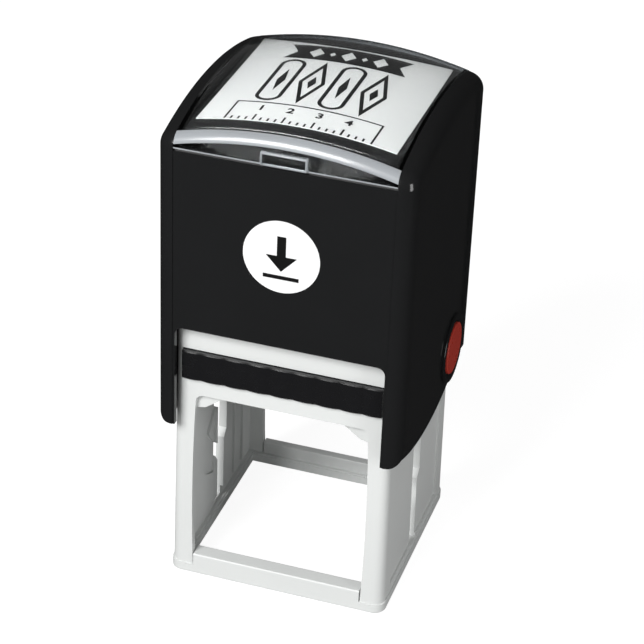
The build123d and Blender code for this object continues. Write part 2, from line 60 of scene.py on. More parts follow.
# ------------------------------------------------------------------ driving values
# camera: it looks at a point on the stamp's axis, shifted bodily sideways and up from there
AIM_Z = 45.0 * MM
CAMERA_RIGHT = 1.62 * MM
CAMERA_UP = 16.01 * MM
CAMERA_BACK = 585.04 * MM
CAMERA_AZIMUTH = math.radians(16.84)
CAMERA_ELEVATION = math.radians(30.92)
CAMERA_ROLL = math.radians(2.35)
SENSOR = 36.0
LENS = 128.9

# printed art, in millimetres on the label as seen from the front; the rubber die repeats it mirrored
ARCH_R = 116.0 * MM
PRINT_THICK = 0.03 * MM
PRINT_LIFT = 0.01 * MM
STROKE = 0.95
MOTIF_XS = (-11.4, -3.8, 3.8, 11.4)
MOTIF_HALF = (3.2, 12.1)
MOTIF_Y = -0.3
BANNER_Y = (12.7, 20.5)
BANNER_HALF_X = (15.2, 12.8)
RULER_X = (-17.5, 18.0)
RULER_TOP_Y = -13.3
TICK_FOOT_Y = -23.3
TICK_PITCH = 1.75
NUMERAL_SIZE = 3.6
NUMERAL_BOLD = 0.1
ARROW = ((-1.1, 5.4), (-1.1, 0.2), (-3.8, 0.2), (0.0, -3.8), (3.8, 0.2), (1.1, 0.2), (1.1, 5.4))
ARROW_BAR = ((-4.4, 4.4), (-5.9, -4.9))

# clear cover over the label
COVER_HALF_X = 26.8
COVER_Y = 31.1
COVER_SKIN = 1.0
COVER_EDGE_R = 3.2
DOME_R = 110.0
DOME_TOP = 132.2
SEAM_Z = 121.5
# EDGE_LOW_ANGLE, EDGE_IN_Y and LIP_Z mark the rounded edges and the foot lip that get painted light: a grey
# finish on the clear plastic in place of the light the clear rim carries
EDGE_LOW_ANGLE = math.radians(28)
EDGE_IN_Y = 28.3
LIP_Z = 121.85
TAB_HALF_X = 5.7
TAB_TOP_Z = 125.0
TAB_PROUD = 0.8
TAB_BEVEL = 0.45

# springs and the buttons' wave washers
SPRING_TURNS = 11
SPRING_WIRE_R = 0.45 * MM
WASHER_WAVES = 3
WASHER_LIFT = 0.32 * MM
WASHER_THICK = 0.2 * MM
WASHER_WIDE = 1.5 * MM
WASHER_INSET = 0.8 * MM

# felt, foam and rubber
SOFT_CORNER = 0.5 * MM
FELT_PINCH = 0.03
FELT_NAP = 0.09
FOAM_PINCH = 0.35
FOAM_NAP = 0.03
RELIEF_SCALE = 0.82
RELIEF_SHIFT = 1.6 * MM
RELIEF_ROOT = 0.1 * MM
RUBBER_BACKING = 1.4 * MM
RUBBER_RIM = 0.3 * MM

# studio
FLOOR_HALF = 4.0
FLOOR_Z = -0.02 * MM
FLOOR_BOUNCE = 0.45
FLOOR_SEEN = 0.24
FLOOR_LIFT = 0.90
FLOOR_MIRRORED = 0.015
ROOM_LIGHT = 0.30
ROOM_MIRRORED = 0.02
ROOM_THROUGH = 0.12
LIGHT_AIM = (0, 0, 0.07)
KEY_AT = (-0.26, -0.72, 0.62)
KEY_SIZE = (0.40, 0.40)
KEY_POWER = 9.5
STRIP_AT = (0.34, -0.17, 0.10)
STRIP_SIZE = (0.09, 0.26)
STRIP_POWER = 0.42


# ------------------------------------------------------------------ node helpers
def put(tree, socket, value):
    """Links a socket to another one, or sets its plain value."""
    if isinstance(value, bpy.types.NodeSocket):
        tree.links.new(value, socket)
    else:
        socket.default_value = value


def new_group(name, inputs, outputs):
    """An empty shader node group with named sockets; inputs are (name, kind, value)."""
    tree = bpy.data.node_groups.new(name, "ShaderNodeTree")
    for label, kind, value in inputs:
        socket = tree.interface.new_socket(label, in_out="INPUT", socket_type=f"NodeSocket{kind}")
        socket.default_value = value
    for label, kind in outputs:
        tree.interface.new_socket(label, in_out="OUTPUT", socket_type=f"NodeSocket{kind}")
    return tree, tree.nodes.new("NodeGroupInput"), tree.nodes.new("NodeGroupOutput")


def add(tree, kind, **settings):
    """A new node; settings are its properties, and links or values for inputs go through wire."""
    node = tree.nodes.new(kind)
    for key, value in settings.items():
        setattr(node, key, value)
    return node


def wire(tree, target, **values):
    """Sets or links a node's inputs by name, with _ for a space."""
    for key, value in values.items():
        put(tree, target.inputs[key.replace("_", " ")], value)


def maths(tree, operation, a, b=0.0, clamp=False):
    node = add(tree, "ShaderNodeMath", operation=operation, use_clamp=clamp)
    for socket, value in zip(node.inputs, (a, b)):
        put(tree, socket, value)
    return node.outputs[0]


def mix_colour(tree, factor, a, b):
    node = add(tree, "ShaderNodeMix", data_type="RGBA")
    for socket, value in ((node.inputs[0], factor), (node.inputs[6], a), (node.inputs[7], b)):
        put(tree, socket, value)
    return node.outputs[2]


def grey(level):
    """A grey of the given brightness."""
    return (level, level, level, 1)


def noise(tree, vector, scale, detail=3.0, roughness=0.5):
    node = add(tree, "ShaderNodeTexNoise")
    wire(tree, node, Vector=vector, Scale=scale, Detail=detail, Roughness=roughness)
    return node.outputs["Fac"]


def ramp(tree, value, low, high):
    node = add(tree, "ShaderNodeMapRange", clamp=True)
    wire(tree, node, Value=value, From_Min=low, From_Max=high)
    return node.outputs["Result"]


# ------------------------------------------------------------------ shared surface effects
def moulded_skin_group():
    """Moulded plastic: a fine grain, slow flow marks and faint rub marks in the gloss."""
    tree, given, out = new_group(
        "moulded_skin",
        [
            ("Colour", "Color", (0.5, 0.5, 0.5, 1)),
            ("Shade", "Float", 0.05),
            ("Roughness", "Float", 0.3),
            ("Roughness Shift", "Float", 0.05),
            ("Grain Scale", "Float", 6000.0),
            ("Grain Depth", "Float", 0.2),
            ("Flow Depth", "Float", 0.1),
        ],
        [("Colour", "Color"), ("Roughness", "Float"), ("Normal", "Vector")],
    )
    here = add(tree, "ShaderNodeTexCoord").outputs["Object"]
    flow = noise(tree, here, 45.0, 2.0)
    fine = noise(tree, here, given.outputs["Grain Scale"], 2.0)
    rub = noise(tree, here, 380.0, 5.0, 0.65)
    darker = mix_colour(tree, given.outputs["Shade"], given.outputs["Colour"], (0, 0, 0, 1))
    wire(tree, out, Colour=mix_colour(tree, flow, given.outputs["Colour"], darker))
    spread = maths(tree, "SUBTRACT", ramp(tree, rub, 0.35, 0.7), 0.5)
    shift = maths(tree, "MULTIPLY", spread, given.outputs["Roughness Shift"])
    wire(tree, out, Roughness=maths(tree, "ADD", given.outputs["Roughness"], shift, True))
    slow = add(tree, "ShaderNodeBump")
    wire(tree, slow, Strength=given.outputs["Flow Depth"], Distance=0.4 * MM, Height=flow)
    grain = add(tree, "ShaderNodeBump")
    wire(tree, grain, Strength=given.outputs["Grain Depth"], Distance=0.02 * MM, Height=fine)
    wire(tree, grain, Normal=slow.outputs[0])
    wire(tree, out, Normal=grain.outputs[0])
    return tree


def fibre_group():
    """Paper and felt: short fibres in two scales, as colour and height."""
    tree, given, out = new_group(
        "fibre",
        [
            ("Light", "Color", (0.9, 0.9, 0.9, 1)),
            ("Dark", "Color", (0.7, 0.7, 0.7, 1)),
            ("Fibre Scale", "Float", 4000.0),
            ("Depth", "Float", 0.3),
        ],
        [("Colour", "Color"), ("Normal", "Vector")],
    )
    here = add(tree, "ShaderNodeTexCoord").outputs["Object"]
    warp = add(tree, "ShaderNodeTexNoise")
    wire(tree, warp, Vector=here, Scale=900.0, Detail=2.0)
    bent = add(tree, "ShaderNodeVectorMath", operation="MULTIPLY_ADD")
    tree.links.new(warp.outputs["Color"], bent.inputs[0])
    bent.inputs[1].default_value = (0.0008, 0.0008, 0.0008)
    tree.links.new(here, bent.inputs[2])
    cells = add(tree, "ShaderNodeTexVoronoi", feature="DISTANCE_TO_EDGE")
    wire(tree, cells, Vector=bent.outputs[0], Scale=given.outputs["Fibre Scale"])
    strands = ramp(tree, cells.outputs["Distance"], 0.0, 0.25)
    cloud = noise(tree, here, 700.0, 4.0)
    share = maths(tree, "MULTIPLY", strands, cloud)
    wire(tree, out, Colour=mix_colour(tree, share, given.outputs["Light"], given.outputs["Dark"]))
    bump = add(tree, "ShaderNodeBump")
    wire(tree, bump, Strength=given.outputs["Depth"], Distance=0.05 * MM, Height=strands)
    wire(tree, out, Normal=bump.outputs[0])
    return tree


def pores_group():
    """Rubber and foam: round pores of mixed size, as height and as painted shade, the darker colour filling
    each pore's dip; the same darker colour gives a mild random mottle between them.
    """
    tree, given, out = new_group(
        "pores",
        [
            ("Colour", "Color", (0.5, 0.5, 0.5, 1)),
            ("Pore Colour", "Color", (0.2, 0.2, 0.2, 1)),
            ("Pore Scale", "Float", 2500.0),
            ("Pore Size", "Float", 0.4),
            ("Depth", "Float", 0.4),
        ],
        [("Colour", "Color"), ("Normal", "Vector")],
    )
    here = add(tree, "ShaderNodeTexCoord").outputs["Object"]
    cells = add(tree, "ShaderNodeTexVoronoi")
    wire(tree, cells, Vector=here, Scale=given.outputs["Pore Scale"])
    body = ramp(tree, cells.outputs["Distance"], 0.0, given.outputs["Pore Size"])
    cloud = noise(tree, here, 600.0, 3.0)
    plain, pore = given.outputs["Colour"], given.outputs["Pore Colour"]
    toned = mix_colour(tree, ramp(tree, cloud, 0.3, 0.7), plain, pore)
    mild = mix_colour(tree, 0.25, plain, toned)
    # painted shade: each pore's dip takes the darker colour
    wire(tree, out, Colour=mix_colour(tree, body, pore, mild))
    bump = add(tree, "ShaderNodeBump")
    wire(tree, bump, Strength=given.outputs["Depth"], Distance=0.08 * MM, Height=body)
    wire(tree, out, Normal=bump.outputs[0])
    return tree


def drawn_metal_group():
    """Drawn steel: fine lines along the metal and a light uneven tarnish."""
    tree, given, out = new_group(
        "drawn_metal",
        [
            ("Colour", "Color", (0.6, 0.6, 0.62, 1)),
            ("Roughness", "Float", 0.25),
            ("Line Scale", "Vector", (200.0, 9000.0, 9000.0)),
        ],
        [("Colour", "Color"), ("Roughness", "Float"), ("Normal", "Vector")],
    )
    here = add(tree, "ShaderNodeTexCoord").outputs["Object"]
    drawn = add(tree, "ShaderNodeVectorMath", operation="MULTIPLY")
    tree.links.new(here, drawn.inputs[0])
    tree.links.new(given.outputs["Line Scale"], drawn.inputs[1])
    lines = noise(tree, drawn.outputs[0], 1.0, 3.0)
    cloud = noise(tree, here, 260.0, 3.0)
    tarnish = mix_colour(tree, 0.45, given.outputs["Colour"], (0.16, 0.14, 0.12, 1))
    spread = ramp(tree, cloud, 0.45, 0.8)
    wire(tree, out, Colour=mix_colour(tree, spread, given.outputs["Colour"], tarnish))
    shift = maths(tree, "MULTIPLY", maths(tree, "SUBTRACT", lines, 0.5), 0.3)
    wire(tree, out, Roughness=maths(tree, "ADD", given.outputs["Roughness"], shift, True))
    bump = add(tree, "ShaderNodeBump")
    wire(tree, bump, Strength=0.25, Distance=0.02 * MM, Height=lines)
    wire(tree, out, Normal=bump.outputs[0])
    return tree


# ------------------------------------------------------------------ materials
def new_material(name, **plain):
    """A material with a Principled BSDF; plain values go straight on its sockets."""
    material = bpy.data.materials.new(name)
    material.use_nodes = True
    shader = material.node_tree.nodes["Principled BSDF"]
    wire(material.node_tree, shader, **plain)
    return material


def with_effect(material, effect, **values):
    """Puts a shared effect in front of the material's shader."""
    tree = material.node_tree
    node = add(tree, "ShaderNodeGroup", node_tree=effect)
    wire(tree, node, **values)
    shader = tree.nodes["Principled BSDF"]
    for name, socket in (("Colour", "Base Color"), ("Roughness", "Roughness"), ("Normal", "Normal")):
        if name in node.outputs:
            tree.links.new(node.outputs[name], shader.inputs[socket])


def mixed_shaders(material, choice, first, second):
    """Sends one of two shaders to the surface: the second where choice is 1."""
    tree = material.node_tree
    mix = add(tree, "ShaderNodeMixShader")
    tree.links.new(choice, mix.inputs[0])
    tree.links.new(first.outputs[0], mix.inputs[1])
    tree.links.new(second.outputs[0], mix.inputs[2])
    tree.links.new(mix.outputs[0], tree.nodes["Material Output"].inputs[0])


def moulded(name, colour, roughness, shade, grain, flow, shift, grain_scale=6000.0, **plain):
    """Moulded plastic: shade and shift are how uneven its colour and gloss are, grain and flow its relief."""
    material = new_material(name, **plain)
    with_effect(
        material,
        EFFECTS["moulded_skin"],
        Colour=(*colour, 1),
        Shade=shade,
        Roughness=roughness,
        Roughness_Shift=shift,
        Grain_Scale=grain_scale,
        Grain_Depth=grain,
        Flow_Depth=flow,
    )
    return material


def clear_plastic():
    """Polished clear plastic that lets the lamps through to the label under it."""
    material = new_material("clear_plastic", IOR=1.49, Transmission_Weight=1.0)
    tree = material.node_tree
    shader = tree.nodes["Principled BSDF"]
    shader.inputs["Base Color"].default_value = (0.97, 0.985, 0.985, 1)
    here = add(tree, "ShaderNodeTexCoord").outputs["Object"]
    rough = maths(tree, "MULTIPLY", noise(tree, here, 300.0, 4.0), 0.03)
    tree.links.new(rough, shader.inputs["Roughness"])
    light = add(tree, "ShaderNodeLightPath")
    open_air = add(tree, "ShaderNodeBsdfTransparent")
    open_air.inputs[0].default_value = (0.93, 0.94, 0.94, 1)
    mixed_shaders(material, light.outputs["Is Shadow Ray"], shader, open_air)
    return material


def fibrous(name, light, dark, scale, depth, roughness, **plain):
    """Paper or felt: two shades between fibres of the given scale."""
    material = new_material(name, Roughness=roughness, **plain)
    with_effect(
        material,
        EFFECTS["fibre"],
        Light=(*light, 1),
        Dark=(*dark, 1),
        Fibre_Scale=scale,
        Depth=depth,
    )
    return material


def porous(name, colour, pore_shade_and_mottle, scale, size, depth, roughness):
    """Rubber or foam, with pores of the given scale, size and depth; the second colour is painted shade in
    the pores and a mild random mottle.
    """
    material = new_material(name, Roughness=roughness)
    with_effect(
        material,
        EFFECTS["pores"],
        Colour=(*colour, 1),
        Pore_Colour=(*pore_shade_and_mottle, 1),
        Pore_Scale=scale,
        Pore_Size=size,
        Depth=depth,
    )
    return material


def steel(name, line_scale):
    """Drawn steel; its lines are finest along the axes where line_scale is large."""
    material = new_material(name, Metallic=1.0)
    with_effect(
        material,
        EFFECTS["drawn_metal"],
        Colour=(0.62, 0.62, 0.64, 1),
        Roughness=0.24,
        Line_Scale=line_scale,
    )
    return material


EFFECTS = {
    "moulded_skin": moulded_skin_group(),
    "fibre": fibre_group(),
    "pores": pores_group(),
    "drawn_metal": drawn_metal_group(),
}
PLASTICS = {
    # name: colour, roughness, shade, grain, flow, shift
    "frame_plastic": ((0.70, 0.715, 0.705), 0.42, 0.05, 0.25, 0.05, 0.08),
    "cap_plastic": ((0.0130, 0.0133, 0.0138), 0.13, 0.2, 0.04, 0.03, 0.06),
    "pad_plastic": ((0.010, 0.010, 0.011), 0.26, 0.2, 0.2, 0.05, 0.1),
    "carrier_plastic": ((0.045, 0.046, 0.050), 0.40, 0.15, 0.4, 0.1, 0.1),
    "acetal": ((0.74, 0.72, 0.66), 0.35, 0.08, 0.2, 0.05, 0.1),
    "button_red": ((0.50, 0.045, 0.028), 0.30, 0.12, 0.2, 0.06, 0.08),
    "badge_white": ((0.86, 0.86, 0.86), 0.30, 0.02, 0.05, 0.02, 0.05),
}
FINISH = {name: moulded(name, *values) for name, values in PLASTICS.items()}
FINISH |= {
    "print_black": moulded(
        "print_black", (0.006, 0.006, 0.006), 0.6, 0.3, 0.3, 0.0, 0.1, 9000.0, Specular_IOR_Level=0.2
    ),
    "clear_plastic": clear_plastic(),
    # painted light: a grey base on the cover's rounded edges, lip and tab bevels stands in for the light that
    # the clear rim carries and reflects
    "clear_edge": moulded("clear_edge", (0.37, 0.39, 0.41), 0.24, 0.25, 0.0, 0.1, 0.04, Coat_Weight=0.2),
    "label_paper": fibrous("label_paper", (0.80, 0.80, 0.795), (0.75, 0.75, 0.74), 5200.0, 0.08, 0.55),
    "inked_felt": fibrous(
        "inked_felt",
        (0.010, 0.010, 0.030),
        (0.045, 0.045, 0.085),
        1700.0,
        0.9,
        0.7,
        Sheen_Weight=0.35,
        Sheen_Roughness=0.4,
    ),
    # the second colour of the rubber and the foam is painted shade in their pores, and a mild random mottle
    "die_rubber": porous("die_rubber", (0.27, 0.075, 0.055), (0.16, 0.045, 0.035), 3800.0, 0.25, 0.3, 0.62),
    "cushion_foam": porous("cushion_foam", (0.52, 0.50, 0.45), (0.22, 0.21, 0.19), 2600.0, 0.45, 0.8, 0.8),
    "spring_steel": steel("spring_steel", (700.0, 700.0, 700.0)),
    "axle_steel": steel("axle_steel", (200.0, 9000.0, 9000.0)),
}


def finish_frame_nodes():
    """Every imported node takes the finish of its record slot."""
    for row in frame["record"]["subparts"]:
        node = NODES[row["node"]]
        node.data.materials.clear()
        node.data.materials.append(FINISH[row["material_slot"]])
    axle = NODES["die_axle"].data.materials
    axle.clear()
    axle.append(FINISH["axle_steel"])


# ------------------------------------------------------------------ pieces
def new_piece(name, mesh, materials, body, slot, *replaced):
    """A finished mesh as a piece of the object that rides on a body."""
    piece = bpy.data.objects.new(name, mesh)
    bpy.context.scene.collection.objects.link(piece)
    if mesh.materials:
        mesh.materials.clear()
    for material in materials:
        mesh.materials.append(FINISH[material])
    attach(piece, body)
    if replaced:
        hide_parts(*replaced)
    return piece


def mesh_from(bm, name, smooth_angle=0.0):
    """A mesh from the bmesh with its faces outward; smooth_angle in degrees shades across gentler edges."""
    bmesh.ops.remove_doubles(bm, verts=bm.verts, dist=0.0005 * MM)
    bmesh.ops.recalc_face_normals(bm, faces=bm.faces)
    mesh = bpy.data.meshes.new(name)
    bm.to_mesh(mesh)
    bm.free()
    if smooth_angle:
        mesh.shade_smooth()
        mesh.set_sharp_from_angle(angle=math.radians(smooth_angle))
    return mesh


def round_edges(bm, verts, radius, segments):
    """Rounds every edge at the given points of a block."""
    edges = list({edge for vert in verts for edge in vert.link_edges})
    return bmesh.ops.bevel(
        bm, geom=edges, offset=radius, segments=segments, profile=0.5, affect="EDGES"
    )


def evaluated_mesh(holder):
    """The plain mesh that an object's curve, text or modifier makes; the object itself is taken away."""
    bpy.context.scene.collection.objects.link(holder)
    shaped = holder.evaluated_get(bpy.context.evaluated_depsgraph_get())
    mesh = bpy.data.meshes.new_from_object(shaped)
    bpy.data.objects.remove(holder)
    return mesh


# ------------------------------------------------------------------ flat art
def box_outline(x, y):
    """A rectangle between the two values of each of x and y."""
    return [(x[0], y[0]), (x[1], y[0]), (x[1], y[1]), (x[0], y[1])]


def diamond_outline(x, y, half_x, half_y):
    return [(x - half_x, y), (x, y - half_y), (x + half_x, y), (x, y + half_y)]


def capsule_outline(x, y, half_x, half_y, steps=10):
    """A tall shape with round ends."""
    points = []
    for end in (1, -1):
        for i in range(steps + 1):
            turn = math.pi * i / steps
            rise = half_y - half_x + half_x * math.sin(turn)
            points.append((x + end * half_x * math.cos(turn), y + end * rise))
    return points


def flat_art(outlines):
    """A bmesh of the flat area inside the outlines, where one inside another is a hole."""
    curve = bpy.data.curves.new("art", "CURVE")
    curve.dimensions = "2D"
    curve.fill_mode = "BOTH"
    for points in outlines:
        spline = curve.splines.new("POLY")
        spline.points.add(len(points) - 1)
        for point, (x, y) in zip(spline.points, points):
            point.co = (x * MM, y * MM, 0, 1)
        spline.use_cyclic_u = True
    bm = bmesh.new()
    bm.from_mesh(evaluated_mesh(bpy.data.objects.new("art", curve)))
    return bm


def numeral(bm, text, x, y):
    """Adds a figure centred at x and y."""
    curve = bpy.data.curves.new("numeral", "FONT")
    curve.body = text
    curve.size = NUMERAL_SIZE * MM
    curve.offset = NUMERAL_BOLD * MM
    curve.align_x = "CENTER"
    curve.align_y = "CENTER"
    mesh = evaluated_mesh(bpy.data.objects.new("numeral", curve))
    mesh.transform(Matrix.Translation((x * MM, y * MM, 0)))
    bm.from_mesh(mesh)


def banner_outlines():
    """A swallow-tailed banner with a row of diamonds left open in it."""
    tail, notch = BANNER_HALF_X
    low, high = BANNER_Y
    middle = (low + high) / 2
    outlines = [[(-tail, low), (tail, low), (notch, middle), (tail, high), (-tail, high), (-notch, middle)]]
    for x in (-8.0, 0.0, 8.0):
        outlines.append(diamond_outline(x, middle, 1.9, 2.6))
    for x in (-4.0, 4.0):
        outlines.append(diamond_outline(x, middle, 0.8, 1.1))
    return outlines


def motif_outlines():
    """Tall ringed capsules and diamonds by turns, each with a small diamond in it."""
    half_x, half_y = MOTIF_HALF
    outlines = []
    for i, x in enumerate(MOTIF_XS):
        shape = diamond_outline if i % 2 else capsule_outline
        shrink_y = STROKE * (half_y / half_x if i % 2 else 1)
        outlines.append(shape(x, MOTIF_Y, half_x, half_y))
        outlines.append(shape(x, MOTIF_Y, half_x - STROKE, half_y - shrink_y))
        outlines.append(diamond_outline(x, MOTIF_Y, 1.0, 3.4 if i % 2 else 6.2))
    return outlines


def ruler_outlines():
    """A ruler cut off by the label's front edge: its top line, ends, long ticks and short ticks."""
    left, right = RULER_X
    line = STROKE / 2
    outlines = [box_outline((left, right), (RULER_TOP_Y - line, RULER_TOP_Y))]
    for x in (left, right - line):
        outlines.append(box_outline((x, x + line), (TICK_FOOT_Y, RULER_TOP_Y - line)))
    for i in range(1, 20):
        x = left + i * TICK_PITCH
        tall = 3.0 if i % 4 == 0 else 1.5
        outlines.append(box_outline((x - line / 2, x + line / 2), (TICK_FOOT_Y, TICK_FOOT_Y + tall)))
    return outlines


def stamp_art():
    """The whole design on the label, flat."""
    bm = flat_art(banner_outlines() + motif_outlines() + ruler_outlines())
    for i in range(1, 5):
        numeral(bm, str(i), RULER_X[0] + 4 * i * TICK_PITCH, RULER_TOP_Y - 3.4)
    return bm


def cut_across(bm, step, reach):
    """Cuts flat art every step along X, so that it can be bent."""
    count = int(2 * reach / step)
    for i in range(1, count):
        everything = bm.verts[:] + bm.edges[:] + bm.faces[:]
        bmesh.ops.bisect_plane(bm, geom=everything, plane_co=(-reach + i * step, 0, 0), plane_no=(1, 0, 0))


def raise_art(bm, along):
    """Gives flat art its thickness, as closed solids."""
    bmesh.ops.remove_doubles(bm, verts=bm.verts, dist=0.0005 * MM)
    raised = bmesh.ops.extrude_face_region(bm, geom=bm.faces[:], use_keep_orig=True)
    moved = [part for part in raised["geom"] if isinstance(part, bmesh.types.BMVert)]
    bmesh.ops.translate(bm, verts=moved, vec=along)


def add_label_print():
    """The printed design, bent along the label's arch."""
    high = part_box("index_label")[1]
    bm = stamp_art()
    cut_across(bm, 2.0 * MM, high[0])
    raise_art(bm, (0, 0, PRINT_THICK))
    for vert in bm.verts:
        drop = ARCH_R - math.sqrt(ARCH_R**2 - vert.co.x**2)
        vert.co.z += high[2] - drop + PRINT_LIFT
    new_piece("label_print", mesh_from(bm, "label_print"), ["print_black"], "cap", "label_paper")


def add_badge_print():
    """A down arrow over a bar, for press here."""
    low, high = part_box("front_badge")
    bm = flat_art([ARROW, box_outline(*ARROW_BAR)])
    raise_art(bm, (0, 0, PRINT_THICK))
    upright = Matrix.Rotation(math.radians(90), 4, "X")
    middle = Vector((0, low[1] - PRINT_LIFT, (low[2] + high[2]) / 2))
    bmesh.ops.transform(bm, matrix=Matrix.Translation(middle) @ upright, verts=bm.verts)
    new_piece("badge_print", mesh_from(bm, "badge_print"), ["print_black"], "cap", "badge_white")


# ------------------------------------------------------------------ clear cover
def cover_profile(x, inset):
    """The cover's section at x, from the front foot over the dome to the rear foot."""
    radius = math.sqrt((DOME_R - inset) ** 2 - x**2)
    edge_r = COVER_EDGE_R - inset
    wall = COVER_Y - inset
    centre_z = DOME_TOP - DOME_R
    arc_y = wall - edge_r
    reach = radius - edge_r
    arc_z = centre_z + math.sqrt(reach**2 - arc_y**2)
    lean = math.atan2(arc_z - centre_z, arc_y)
    half = [(wall, SEAM_Z), (wall, LIP_Z)]
    half += [(wall, LIP_Z + (arc_z - LIP_Z) * i / 4) for i in range(1, 4)]
    for i in range(13):
        angle = lean * i / 12
        half.append((arc_y + edge_r * math.cos(angle), arc_z + edge_r * math.sin(angle)))
    span = math.pi / 2 - lean
    for i in range(1, 25):
        angle = lean + span * i / 24
        half.append((radius * math.cos(angle), centre_z + radius * math.sin(angle)))
    front = [(-y, z) for y, z in half]
    return front + half[-2::-1]


def cover_wall(bm, half_x, inset, stations=40):
    """One skin of the cover, with its two flat sides; gives back the rows of points."""
    rows = []
    for i in range(stations + 1):
        x = half_x * (2 * i / stations - 1)
        rows.append([bm.verts.new((x * MM, y * MM, z * MM)) for y, z in cover_profile(x, inset)])
    for row, following in zip(rows, rows[1:]):
        for i in range(len(row) - 1):
            face = bm.faces.new((row[i], row[i + 1], following[i + 1], following[i]))
            # outer faces on the rounded edges and the lip take the grey finish of painted light
            face.material_index = int(inset == 0 and is_edge(face.calc_center_median() / MM))
    bm.faces.new(rows[0])
    bm.faces.new(rows[-1])
    return rows


def is_edge(point):
    """Whether a point of the outer skin is on the rounded front or rear edge, or on the lip at its foot,
    where the cover has painted light.
    """
    if point.z < LIP_Z:
        return True
    crown = DOME_TOP - DOME_R + math.sqrt(DOME_R**2 - point.x**2 - COVER_Y**2)
    low = crown - COVER_EDGE_R * (1 - math.sin(EDGE_LOW_ANGLE))
    return abs(point.y) > EDGE_IN_Y and point.z > low


def add_cover():
    """The clear snap-on cover: a thin dome whose rounded edges and foot lip have painted light, a grey finish
    for the light the clear rim catches, and two latch tabs.
    """
    bm = bmesh.new()
    outer = cover_wall(bm, COVER_HALF_X, 0)
    inner = cover_wall(bm, COVER_HALF_X - COVER_SKIN, COVER_SKIN)
    for end in (0, -1):
        for i in range(len(outer) - 1):
            bm.faces.new((outer[i][end], outer[i + 1][end], inner[i + 1][end], inner[i][end]))
    for side in (0, -1):
        bm.faces.new((outer[side][0], outer[side][-1], inner[side][-1], inner[side][0]))
    bmesh.ops.recalc_face_normals(bm, faces=bm.faces)
    for side in (-1, 1):
        add_tab(bm, side)
    finishes = ["clear_plastic", "clear_edge"]
    cover = mesh_from(bm, "clear_cover", 32)
    new_piece("clear_cover", cover, finishes, "window", "clear_plastic", "index_window")


def add_tab(bm, side):
    """A latch tab on the front or rear wall, with bevels in painted light, the grey edge finish, round a
    clear face.
    """
    tab = bmesh.ops.create_cube(bm, size=1.0)["verts"]
    size = Vector((2 * TAB_HALF_X, 1 + TAB_PROUD, TAB_TOP_Z - SEAM_Z)) * MM
    place = Vector((0, side * (COVER_Y - 0.5 + TAB_PROUD / 2), (TAB_TOP_Z + SEAM_Z) / 2)) * MM
    bmesh.ops.transform(bm, matrix=Matrix.LocRotScale(place, None, size), verts=tab)
    bevel = round_edges(bm, tab, TAB_BEVEL * MM, 3)
    # the bevels take the grey finish of painted light
    for face in bevel["faces"]:
        face.material_index = 1


# ------------------------------------------------------------------ springs and washers
def new_tree(name, *inputs):
    """An empty Geometry Nodes tree with named number inputs and a geometry output."""
    tree = bpy.data.node_groups.new(name, "GeometryNodeTree")
    tree.interface.new_socket("Geometry", in_out="OUTPUT", socket_type="NodeSocketGeometry")
    for label in inputs:
        tree.interface.new_socket(label, in_out="INPUT", socket_type="NodeSocketFloat")
    return tree, tree.nodes.new("NodeGroupInput").outputs, tree.nodes.new("NodeGroupOutput")


def closing_nodes(tree, geometry, out, material):
    """Ends a tree: smooth, real, and in its material."""
    smooth = add(tree, "GeometryNodeSetShadeSmooth")
    real = add(tree, "GeometryNodeRealizeInstances")
    finish = add(tree, "GeometryNodeSetMaterial")
    finish.inputs["Material"].default_value = FINISH[material]
    tree.links.new(geometry, smooth.inputs["Geometry"])
    tree.links.new(smooth.outputs[0], real.inputs[0])
    tree.links.new(real.outputs[0], finish.inputs[0])
    tree.links.new(finish.outputs[0], out.inputs[0])


def grown(tree, name, **values):
    """The mesh that a tree makes with the given inputs."""
    holder = bpy.data.objects.new(name, bpy.data.meshes.new(name))
    modifier = holder.modifiers.new(name, "NODES")
    modifier.node_group = tree
    for item in tree.interface.items_tree:
        if item.in_out == "INPUT":
            modifier[item.identifier] = float(values[item.name.replace(" ", "_")])
    return evaluated_mesh(holder)


